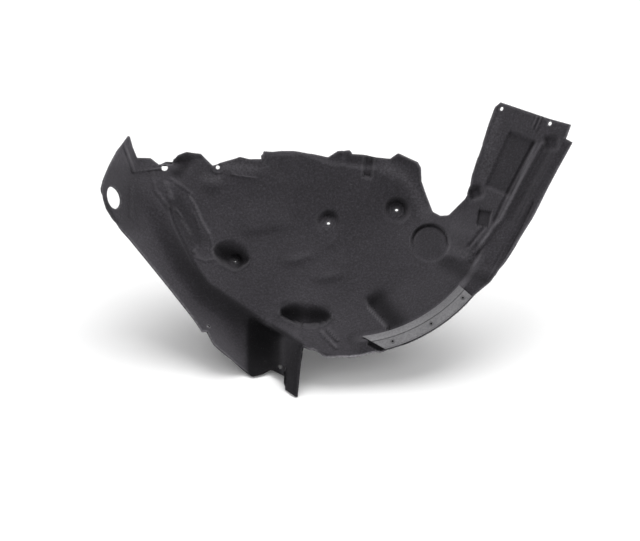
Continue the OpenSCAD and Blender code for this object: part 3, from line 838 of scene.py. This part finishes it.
# Each hole: plan point with height, axis and radius in millimetres
HOLES = [
    (MIDDLE_SEAT, INNER_AXIS, 3.5), (RIGHT_SEAT, INNER_AXIS, 3.5), (NICHE_SEAT, NICHE_AXIS, 3.5),
    (point_at(PANEL_HOLE), PANEL_AXIS, 23), (point_at((-33, 60)), DRAW_AXIS, 4),
    (point_at(ARM_HOLE_A), ARM_AXIS, 4.4), (point_at(ARM_HOLE_B), ARM_AXIS, 4.4),
    (point_at((-267, 459)), DRAW_AXIS, 6.5), (point_at(TAB_HOLE), DRAW_AXIS, 4),
    (point_at((-176, 141)), PANEL_AXIS, 3),
]
# The punch's length, in metres
PUNCH = 0.03


def cut_by(obj, tools):
    """Take the tools' mesh away from an object."""
    cutter = new_object("cutter", tools)
    cut = obj.modifiers.new("cut", "BOOLEAN")
    cut.operation, cut.solver, cut.object = "DIFFERENCE", "MANIFOLD", cutter
    mesh = bpy.data.meshes.new_from_object(obj.evaluated_get(bpy.context.evaluated_depsgraph_get()))
    obj.modifiers.remove(cut)
    obj.data = mesh
    bpy.data.objects.remove(cutter)


cutter_mesh = bmesh.new()
for at, axis, r in HOLES:
    bmesh.ops.create_cone(
        cutter_mesh, cap_ends=True, segments=64 if r > 10 else 32, radius1=r / 1000, radius2=r / 1000,
        depth=PUNCH, matrix=plan_matrix(at, axis),
    )
data = bpy.data.meshes.new("punches")
cutter_mesh.to_mesh(data)
cutter_mesh.free()
cut_by(shell, data)
print("after punching:", len(shell.data.vertices), "points,", len(shell.data.polygons), "faces")

# %% How pale each point is
EDGE_WIDTH, RIM_WIDTH = 1.6, 4.6
# A cut edge's paleness, and what is added to it at the lip's lower edge, which was cut last
EDGE_PALE, LIP_PALE = 0.4, 0.9
LIP_LEFT, LIP_RIGHT, LIP_UP = (50, 62), (170, 160), (110, 90)
# Painted highlight on the collar round each screw's hole: seat and amount
SEAT_HIGHLIGHTS = [(MIDDLE_SEAT, 0.3), (RIGHT_SEAT, 0.3), (NICHE_SEAT, 0.9)]
SEAT_HIGHLIGHT_FADE = (10, 6)
# Painted highlights along crests, edges and bands that face the light: amount, half width and path
PAINTED_HIGHLIGHTS = [
    (0.06, 26, [(180, 456), (214, 444), (238, 418), (250, 388), (262, 366)]),
    (0.06, 28, [(322, 294), (352, 276)]),
    (0.06, 22, [(398, 553), (372, 440)]),
    (0.06, 18, [(-142, 462), (-70, 464)]),
    (0.09, 14, [(-186, 440), (-158, 440)]),
    (0.12, 11, [(-160, 461), (-159, 461)]),
    (0.12, 6, [(-244, 376), (-228, 350), (-214, 328)]),
    (0.09, 10, [(-264, 427), (-252, 398)]),
    (0.14, 5, [(-216, 402), (-203, 379), (-190, 349), (-177, 328)]),
    (0.1, 5, [(50, 129), (76, 101)]),
    (0.14, 5, [(360, 290), (380, 326), (404, 352), (428, 398)]),
    (0.14, 4, [(142, 178), (178, 139)]),
]


def points_of(mesh):
    """A mesh's points as an array, in metres."""
    flat = np.empty(len(mesh.vertices) * 3)
    mesh.vertices.foreach_get("co", flat)
    return flat.reshape(-1, 3)


def write_layer(mesh, name, value):
    """Store a number from 0 to 1 for each point of a mesh."""
    layer = mesh.attributes.new(name, "FLOAT", "POINT")
    layer.data.foreach_set("value", np.clip(value, 0, 1))


def mark_edges_and_highlights(mesh):
    """Write how pale each point is: at a cut edge, and with painted highlights round a screw and along some
    paths.
    """
    rim = np.concatenate([net[:, 0], net[-1, :], net[:, -1], net[0, :]])
    rim = stand(np.column_stack([rim, felt_height(rim)]))
    tree = KDTree(len(rim))
    for k, place in enumerate(rim):
        tree.insert(place, k)
    tree.balance()
    points = points_of(mesh)
    value = np.array([1 - tree.find(p)[2] * 1000 / RIM_WIDTH for p in points])
    for at, axis, r in HOLES:
        away = (points - stand(at)) * 1000
        axis = np.array(direction(axis))
        depth = away @ axis
        off = np.linalg.norm(away - depth[:, None] * axis, axis=1)
        near = np.maximum(value, 1 - np.abs(off - r) / EDGE_WIDTH)
        value = np.where(np.abs(depth) < PUNCH * 1000 / 2, near, value)
    for seat, amount in SEAT_HIGHLIGHTS:
        reach = np.linalg.norm((points - stand(seat)) * 1000, axis=1)
        value = np.maximum(value, amount * fade(reach, *SEAT_HIGHLIGHT_FADE))
    at = plan_of(points)
    lip = fade(at[:, 0], *LIP_LEFT) * fade(at[:, 0], *LIP_RIGHT) * fade(at[:, 1], *LIP_UP)
    value = value * (EDGE_PALE + LIP_PALE * lip)
    for amount, half, path in PAINTED_HIGHLIGHTS:
        value = np.maximum(value, amount * along(at, path, half))
    write_layer(mesh, "edge", value)
    return value


# %% Painted shade on the felt
# Each shaded area: amount, centre, size, angle and edge
SHADE_SPOTS = [
    (0.25, RECESS_CENTRE, (44, 108), -24, 5),
    (0.16, (462, 424), (12, 150), -27, 16),
    (0.45, (-14, 169), (26, 22), -6, 16),
    (0.3, (46, 166), (20, 20), -6, 16),
    (0.2, DISC, (30, 30), 0, 20),
    (0.5, (66, 367), (10, 3), -10, 12),
    (0.35, (-226, 348), (18, 90), 28, 24),
    (0.3, PANEL_HOLE, (60, 100), 0, 40),
    (0.3, (373, 356), (20, 26), -10, 4),
]
# Each shaded path: amount, half width and path
SHADE_PATHS = [
    (0.65, 34, [(198, 150), (176, 176), (164, 190)]),
    (0.45, 24, [(296, 266), (340, 244), (374, 236)]),
    (0.35, 16, [(108, 117), (124, 117)]),
    (0.55, 10, [(-34, 162), (-10, 147), (17, 141), (44, 143), (68, 154)]),
    (0.45, 10, [(-163, 282), (-148, 262), (-124, 251), (-104, 262), (-97, 276)]),
    (0.5, 16, [(-246, 450), (-228, 456)]),
]
# Painted shade in the lower box and the gutter, and how much less the leg gets; in the box it also stands for
# felt pressed harder
BOX_SHADE, LEG_LESS, GUTTER_SHADE = 0.95, 0.25, 0.75
# The places over which that comes in or fades: in the box, on the leg and to both sides of the crease
SHADE_WALL, SHADE_LEFT, SHADE_TOP, SHADE_LEG = 6, (-106, -94), (180, 150), (-40, -26)
GUTTER_RIGHT, GUTTER_LEFT, GUTTER_UP = 46, 8, (420, 220)


def mark_pressed(mesh):
    """Write the painted shade: darkest in the lower box, less on the leg and in the gutter, and in spots and
    bands at pits and walls.
    """
    at = plan_of(points_of(mesh))
    off, side = off_path(at, CREASE)
    in_box = np.where(side > 0, smooth(off / SHADE_WALL), 0)
    in_box = in_box * fade(at[:, 0], *SHADE_LEFT) * fade(at[:, 1], *SHADE_TOP)
    in_leg = fade(at[:, 0], *SHADE_LEG)
    reach = np.where(side > 0, GUTTER_RIGHT, GUTTER_LEFT)
    in_gutter = (1 - smooth(off / reach)) * fade(at[:, 1], *GUTTER_UP)
    value = np.maximum(in_box * (BOX_SHADE - LEG_LESS * in_leg), GUTTER_SHADE * in_gutter)
    for amount, centre, size, angle, edge in SHADE_SPOTS:
        value = np.maximum(value, amount * box(at, centre, size, angle, edge))
    for amount, half, path in SHADE_PATHS:
        value = np.maximum(value, amount * along(at, path, half))
    write_layer(mesh, "pressed", value)


# %% The numbers on the shell
mark_pressed(shell.data)
value = mark_edges_and_highlights(shell.data)
print("attributes:", [a.name for a in shell.data.attributes])
shell.data.shade_smooth()
shell.data.set_sharp_from_angle(angle=math.radians(50))
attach(shell, "root")
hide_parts("felt_liner")
print("points paler than the rest:", int((value > 0.05).sum()))

# %% [markdown]
# ## Loose fibres
#
# Needles pull some fibres out of the felt, so its surface is never clean, and along a cut edge the ends
# stick out. Each fibre here is a thin bent spike with ten triangles. One node tree scatters copies of it
# over the faces whose edge number is high enough, leans each at random and joins them. Hair curves
# would look alike, but plain triangles go into any exchange file.

# %% One fibre
def fibre_object():
    """A bent, pointed spike, one millimetre long along z."""
    ring_at = [(math.cos(a), math.sin(a)) for a in (0, 2 * math.pi / 3, 4 * math.pi / 3)]
    # A thick foot, a thinner middle that has bent aside, and a tip
    points = [(0.03 * x, 0.03 * y, 0) for x, y in ring_at]
    points += [(0.12 + 0.024 * x, 0.024 * y, 0.55) for x, y in ring_at] + [(0.42, 0.05, 1.0)]
    sides = [(k, (k + 1) % 3, 3 + (k + 1) % 3, 3 + k) for k in range(3)]
    tips = [(3 + k, 3 + (k + 1) % 3, 6) for k in range(3)]
    mesh = bpy.data.meshes.new("fibre")
    mesh.from_pydata([tuple(v / 1000 for v in point) for point in points], [], [(2, 1, 0)] + sides + tips)
    return new_object("fibre", mesh)


FIBRE = fibre_object()
print("one fibre has", sum(len(p.vertices) - 2 for p in FIBRE.data.polygons), "triangles")

# %% The tree that scatters fibres
def fuzz_tree():
    """Copies of a fibre on the faces near enough to an edge, each with its own length and lean."""
    tree, given, result = new_tree(
        "loose_fibres", Fibre=("Object", None), Density=("Float", 50000.0), Length=("Float", 4.0),
        Lean=("Float", 1.1), Edge_from=("Float", -1.0), Seed=("Int", 1),
    )
    edge = add_node(tree, "GeometryNodeInputNamedAttribute", {"data_type": "FLOAT"}, Name="edge")
    near = add_node(tree, "FunctionNodeCompare", {"data_type": "FLOAT", "operation": "GREATER_THAN"})
    put(tree, near.inputs[0], out(edge))
    put(tree, near.inputs[1], given.outputs["Edge from"])
    points = add_node(tree, "GeometryNodeDistributePointsOnFaces", {"distribute_method": "RANDOM"},
                      Mesh=given.outputs["Geometry"], Density=given.outputs["Density"],
                      Seed=given.outputs["Seed"], Selection=out(near))
    spike = add_node(tree, "GeometryNodeObjectInfo", Object=given.outputs["Fibre"])
    size = add_node(tree, "FunctionNodeRandomValue", {"data_type": "FLOAT"}, Seed=given.outputs["Seed"])
    half = maths(tree, "MULTIPLY", given.outputs["Length"], 0.5)
    low, high = [socket for socket in size.inputs if socket.enabled and socket.name in ("Min", "Max")]
    tree.links.new(half, low)
    tree.links.new(given.outputs["Length"], high)
    placed = add_node(tree, "GeometryNodeInstanceOnPoints", Points=out(points, "Points"),
                      Instance=out(spike, "Geometry"), Rotation=out(points, "Rotation"), Scale=out(size))
    vectors = {"data_type": "FLOAT_VECTOR"}
    turn = add_node(tree, "FunctionNodeRandomValue", vectors, Seed=given.outputs["Seed"])
    down = maths(tree, "MULTIPLY", given.outputs["Lean"], -1.0)
    half_turn = 3.14
    for lean, label, spin in ((down, "Min", -half_turn), (given.outputs["Lean"], "Max", half_turn)):
        vector = add_node(tree, "ShaderNodeCombineXYZ", X=lean, Y=lean, Z=spin)
        tree.links.new(out(vector), next(s for s in turn.inputs if s.enabled and s.name == label))
    leaning = add_node(tree, "GeometryNodeRotateInstances", Instances=out(placed), Rotation=out(turn))
    return ended(tree, result, out(leaning), LOOSE)


# %% Fibres on the felt


def loose_material():
    """Single fibres: black, grey and a few pale ones."""
    material, tree, shader = new_material("loose_fibre")
    where = tree.nodes.new("ShaderNodeTexCoord").outputs["Object"]
    kind = noise(tree, where, 700, 1, 0.5)
    black, grey, pale = (0.02, 0.019, 0.021), (0.06, 0.058, 0.063), (0.12, 0.117, 0.122)
    tint = ramp(tree, kind, (0.4, black), (0.55, grey), (0.8, pale))
    fill(tree, shader, {"Base Color": tint, "Roughness": 0.7})
    return material


LOOSE = loose_material()
FUZZ = fuzz_tree()
# Each kind: name, fibres to a square metre, length, lean in radians, least value of edge, and seed
for name, density, length, lean, edge_from, seed in (
    ("surface_fibres", 26000.0, 3.4, 1.25, -1.0, 11), ("edge_fibres", 520000.0, 2.6, 0.9, 0.22, 12),
):
    values = {"Density": density, "Length": length, "Lean": lean, "Edge from": edge_from}
    values.update({"Fibre": FIBRE, "Seed": seed})
    fuzz = grown(name, shell, FUZZ, values, LOOSE)
    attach(fuzz, "root")
    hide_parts("felt_liner")
    print(name, "triangles:", sum(len(p.vertices) - 2 for p in fuzz.data.polygons))
bpy.data.objects.remove(FIBRE)

# %% [markdown]
# ## The hard parts
#
# The strip stiffens the lip and guards it against stones. It is injection moulded: a flat face on the
# felt, a rounded bend and a flank that reaches down over the lip's inner edge. One cross-section holds
# along its whole length, so it is a sweep: a profile carried along an arc by a node tree. Its left end
# is trimmed on a slant, and blind rivets hold it.

# %% Plastic


def plastic_material(name="satin_grey_plastic", tone=1.0):
    """Satin plastic with a fine grain and painted shade in its grooves; the tone scales its grey."""
    material, tree, shader = new_material(name)
    where = tree.nodes.new("ShaderNodeTexCoord").outputs["Object"]
    grain = noise(tree, where, 600, 2, 0.5)
    cloud = noise(tree, where, 12, 3, 0.5)
    greys = [tuple(tone * v for v in grey) for grey in ((0.145, 0.142, 0.15), (0.18, 0.177, 0.185))]
    colour = ramp(tree, cloud, (0.3, greys[0]), (0.7, greys[1]))
    speck = ramp(tree, noise(tree, where, 260, 3, 0.6), (0.38, 0.74), (0.6, 1))
    colour = mixed(tree, "MULTIPLY", 1.0, colour, speck)
    # Painted shade in the grooves and round the rivets, from ambient occlusion
    groove = add_node(tree, "ShaderNodeAmbientOcclusion", {"samples": 6}, Distance=0.005)
    shade = ramp(tree, groove.outputs["AO"], (0.35, 0.1), (0.9, 1))
    colour = mixed(tree, "MULTIPLY", 1.0, colour, shade)
    fine = add_node(tree, "ShaderNodeBump", Strength=0.15, Distance=0.0003, Height=grain)
    fill(tree, shader, {"Base Color": colour, "Roughness": 0.45, "Normal": out(fine)})
    return material


PLASTIC = plastic_material()
print("plastic with", len(PLASTIC.node_tree.nodes), "nodes")

# %% The sweep
def outline_object(name, points, closed):
    """A line of points as an object with edges only."""
    mesh = bpy.data.meshes.new(name)
    edges = [(k, k + 1) for k in range(len(points) - 1)]
    if closed:
        edges.append((len(points) - 1, 0))
    mesh.from_pydata([tuple(v / 1000 for v in point) for point in points], edges, [])
    return new_object(name, mesh)


def sweep_tree():
    """A profile carried along a rail."""
    tree, given, result = new_tree("swept_strip", Profile=("Object", None), Material=("Material", PLASTIC))
    rail = add_node(tree, "GeometryNodeMeshToCurve", Mesh=given.outputs["Geometry"])
    level_rail = add_node(tree, "GeometryNodeSetCurveNormal", Curve=out(rail))
    mode = next((s for s in level_rail.inputs if s.name == "Mode"), None)
    if mode is None:
        level_rail.mode = "Z_UP"
    else:
        mode.default_value = "Z Up"
    info = add_node(tree, "GeometryNodeObjectInfo", Object=given.outputs["Profile"])
    section = add_node(tree, "GeometryNodeMeshToCurve", Mesh=out(info, "Geometry"))
    swept = add_node(
        tree, "GeometryNodeCurveToMesh", Curve=out(level_rail), Profile_Curve=out(section), Fill_Caps=True,
    )
    return ended(tree, result, out(swept), given.outputs["Material"])


# %% The strip's profile and its rail
STRIP_OUTER, STRIP_BEND, STRIP_INNER = 332.0, 310.0, 299.0
STRIP_BACK, STRIP_FRONT, STRIP_TURN = 0.3, 2.7, 17.6
FACE, FLANK = STRIP_OUTER - STRIP_BEND, STRIP_INNER - STRIP_BEND
# The profile: distance outwards from the bend, and height
PROFILE = [
    (FACE, STRIP_BACK), (FACE, 2.2), (FACE - 0.5, STRIP_FRONT), (20.4, STRIP_FRONT), (20, 2.35), (19.4, 2.35),
    (19, STRIP_FRONT), (3.0, STRIP_FRONT), (2.4, 1.7), (1.8, 1.7), (1.2, STRIP_FRONT), (0.4, 2.55),
    (-0.5, 1.7), (-10.6, -14.3), (FLANK, -15.2), (FLANK, STRIP_BACK - STRIP_TURN), (-0.6, -0.3),
    (0.2, STRIP_BACK),
]
SWEEP_FROM, SWEEP_TO, SWEEP_POINTS = 6.3, 49, 90
arc = np.linspace(SWEEP_FROM, SWEEP_TO, SWEEP_POINTS)
rail = outline_object("rail", [(*round_about(a, STRIP_BEND), 0) for a in arc], False)
# The sweep turns the profile's y downwards
profile = outline_object("profile", [(x, -y, 0) for x, y in PROFILE[::-1]], True)
strip = grown("moulded_strip", rail, sweep_tree(), {"Profile": profile, "Material": PLASTIC}, PLASTIC)
bpy.data.objects.remove(rail)
bpy.data.objects.remove(profile)


def volume(mesh):
    """A closed mesh's volume in cubic millimetres, above 0 if its faces look outwards."""
    solid = bmesh.new()
    solid.from_mesh(mesh)
    total = solid.calc_volume(signed=True) * 1e9
    solid.free()
    return total


print("sweep:", len(strip.data.polygons), "faces,", round(volume(strip.data)), "cubic millimetres")

# %% Trimming its end and boring it for the rivets
RIVET_ANGLES = [17, 32, 46.5]
RIVET_LINE = STRIP_OUTER - 11
BORE_R, BORE_DEPTH, BORE_HEIGHT = 0.0025, 0.01, 0.0015
# The slanted cut runs from the flank to near the outer edge, and past both. A block takes it away
tip, heel = np.array(round_about(6.5, STRIP_INNER)), np.array(round_about(13.2, 329))
run = (heel - tip) / np.linalg.norm(heel - tip)
past, aside = 15 * run, 60 * np.array([run[1], -run[0]])
BLOCK_LOW, BLOCK_HIGH = -30, 20
tools = bmesh.new()
quad = [tip - past, heel + past, heel + past + aside, tip - past + aside]
for height in (BLOCK_LOW, BLOCK_HIGH):
    for corner in quad:
        tools.verts.new((*corner / 1000, height / 1000))
tools.verts.ensure_lookup_table()
for loop in ((3, 2, 1, 0), (4, 5, 6, 7), (0, 1, 5, 4), (1, 2, 6, 5), (2, 3, 7, 6), (3, 0, 4, 7)):
    tools.faces.new([tools.verts[k] for k in loop])
for angle in RIVET_ANGLES:
    where = Matrix.Translation((*np.array(round_about(angle, RIVET_LINE)) / 1000, BORE_HEIGHT))
    bmesh.ops.create_cone(
        tools, cap_ends=True, segments=32, radius1=BORE_R, radius2=BORE_R, depth=BORE_DEPTH, matrix=where,
    )
bmesh.ops.recalc_face_normals(tools, faces=tools.faces)
data = bpy.data.meshes.new("block")
tools.to_mesh(data)
tools.free()
cut_by(strip, data)


def stand_up(obj, node):
    """Stand a piece drawn in the plan up in the world, and let it take the CAD node's place."""
    obj.data.vertices.foreach_set("co", stand(points_of(obj.data) * 1000).ravel())
    obj.data.update()
    obj.data.shade_smooth()
    obj.data.set_sharp_from_angle(angle=math.radians(32))
    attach(obj, "root")
    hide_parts(node)


stand_up(strip, "edge_strip")
print("trimmed:", len(strip.data.polygons), "faces,", round(volume(strip.data)), "cubic millimetres")

# %% [markdown]
# ## Blind rivets
#
# A blind rivet's front head is a low dome with a hole where its pin broke off. Its back head spreads
# behind the felt. A turned part is a line revolved about an axis, and a tree sets one on each point.

# %% One rivet, turned
# The line that is turned, as radius and height: pin hole, dome, shank and back head
TURNED = [
    (0, -2.5), (2.0, -2.5), (2.0, 3.7), (2.5, 3.9), (3.6, 3.7), (4.4, 3.2), (4.6, 2.7), (2.2, 2.7),
    (2.2, -3.9), (4.6, -3.9), (4.3, -4.8), (3.4, -5.1), (0, -5.1),
]
SPOKES = 28
spokes = np.linspace(0, 2 * math.pi, SPOKES, endpoint=False)
points = [(0, 0, TURNED[0][1])]
for r, z in TURNED[1:-1]:
    points += [(r * math.cos(a), r * math.sin(a), z) for a in spokes]
points.append((0, 0, TURNED[-1][1]))
loops = []
for k in range(SPOKES):
    n = (k + 1) % SPOKES
    loops.append((0, 1 + k, 1 + n))
    for level_at in range(len(TURNED) - 3):
        top, low = 1 + level_at * SPOKES, 1 + (level_at + 1) * SPOKES
        loops.append((top + k, low + k, low + n, top + n))
    loops.append((len(points) - 1, len(points) - 1 - SPOKES + n, len(points) - 1 - SPOKES + k))
rivet_mesh = bpy.data.meshes.new("rivet")
rivet_mesh.from_pydata([tuple(v / 1000 for v in point) for point in points], [], loops)
rivet = new_object("rivet", rivet_mesh)
print("one rivet:", len(loops), "faces,", round(volume(rivet_mesh), 1), "cubic millimetres")

# %% One rivet on each point
def setting_tree():
    """A copy of the rivet on each point."""
    tree, given, result = new_tree("set_rivets", Rivet=("Object", None))
    info = add_node(tree, "GeometryNodeObjectInfo", Object=given.outputs["Rivet"])
    spots = {"Points": given.outputs["Geometry"], "Instance": out(info, "Geometry")}
    placed = add_node(tree, "GeometryNodeInstanceOnPoints", **spots)
    return ended(tree, result, out(placed), RIVET_GREY)


RIVET_GREY = plastic_material("rivet_grey", 0.6)
spots = outline_object("spots", [(*round_about(a, RIVET_LINE), 0) for a in RIVET_ANGLES], False)
rivets = grown("blind_rivets", spots, setting_tree(), {"Rivet": rivet}, RIVET_GREY)
bpy.data.objects.remove(spots)
bpy.data.objects.remove(rivet)
stand_up(rivets, "strip_rivets")
print("rivets:", len(rivets.data.polygons), "faces")

# %% [markdown]
# ## Floor, light and camera
#
# The floor and the backdrop are white. Matt black felt shows its form by soft light from one side, so
# one wide lamp behind and above is the key. Three weaker ones, at the right, the front and the left,
# keep the walls that face away from it readable and lighten the shadow on the floor. The sky is weak
# for the felt's light but plain white for the camera and for anything that mirrors it.

# %% Floor
FLOOR_HALF = 30
corners = [(x * FLOOR_HALF, y * FLOOR_HALF, 0.0) for x, y in ((-1, -1), (1, -1), (1, 1), (-1, 1))]
floor_mesh = mesh_from("floor", np.array(corners), np.array([[0, 1, 2, 3]]))
floor = new_object("floor", floor_mesh)
white, tree, shader = new_material("white_floor")
fill(tree, shader, {"Base Color": (0.98, 0.98, 0.98, 1), "Roughness": 0.9})
floor_mesh.materials.append(white)
print("floor:", tuple(floor.dimensions))

# %% Light
world = bpy.data.worlds.new("studio")
bpy.context.scene.world = world
world.use_nodes = True
tree = world.node_tree
background = tree.nodes["Background"]
background.inputs["Color"].default_value = (1, 1, 1, 1)
path = tree.nodes.new("ShaderNodeLightPath")
seen = maths(tree, "MAXIMUM", path.outputs["Is Camera Ray"], path.outputs["Is Glossy Ray"])
seen = maths(tree, "MAXIMUM", seen, path.outputs["Is Transmission Ray"])
put(tree, background.inputs["Strength"], ranged(tree, seen, 0.2, 1.0))


def lamp(name, towards, spread, strength):
    """A far soft lamp, seen from the object in a direction, with its spread in degrees."""
    data = bpy.data.lights.new(name, "SUN")
    data.angle, data.energy = math.radians(spread), strength
    obj = new_object(name, data)
    obj.rotation_mode = "QUATERNION"
    obj.rotation_quaternion = Vector(towards).to_track_quat("Z", "Y")


lamp("key", (0.12, 0.3, 0.94), 50, 2.3)
lamp("right", (0.85, 0.1, 0.5), 40, 0.5)
lamp("front", (0.4, -0.7, 0.6), 60, 0.75)
lamp("left", (-0.55, -0.3, 0.78), 60, 0.6)
print("lamps:", [light.name for light in bpy.data.lights])

# %% Camera
TARGET = Vector(stand((46, 252, -80)))
DISTANCE, VIEW_WIDTH, SENSOR = 8.0, 1.28, 36
camera_data = bpy.data.cameras.new("camera")
camera_data.sensor_width = SENSOR
camera_data.lens = SENSOR * DISTANCE / VIEW_WIDTH
camera_data.clip_end = 50
camera = new_object("camera", camera_data)
camera.location = TARGET + direction(DRAW_AXIS) * DISTANCE
camera.rotation_mode = "QUATERNION"
camera.rotation_quaternion = (-direction(DRAW_AXIS)).to_track_quat("-Z", "Y")
bpy.context.scene.camera = camera
bpy.context.scene.view_settings.view_transform = "Standard"
print("camera", DISTANCE, "m away, along the mould's axis, seeing", VIEW_WIDTH, "m from side to side")
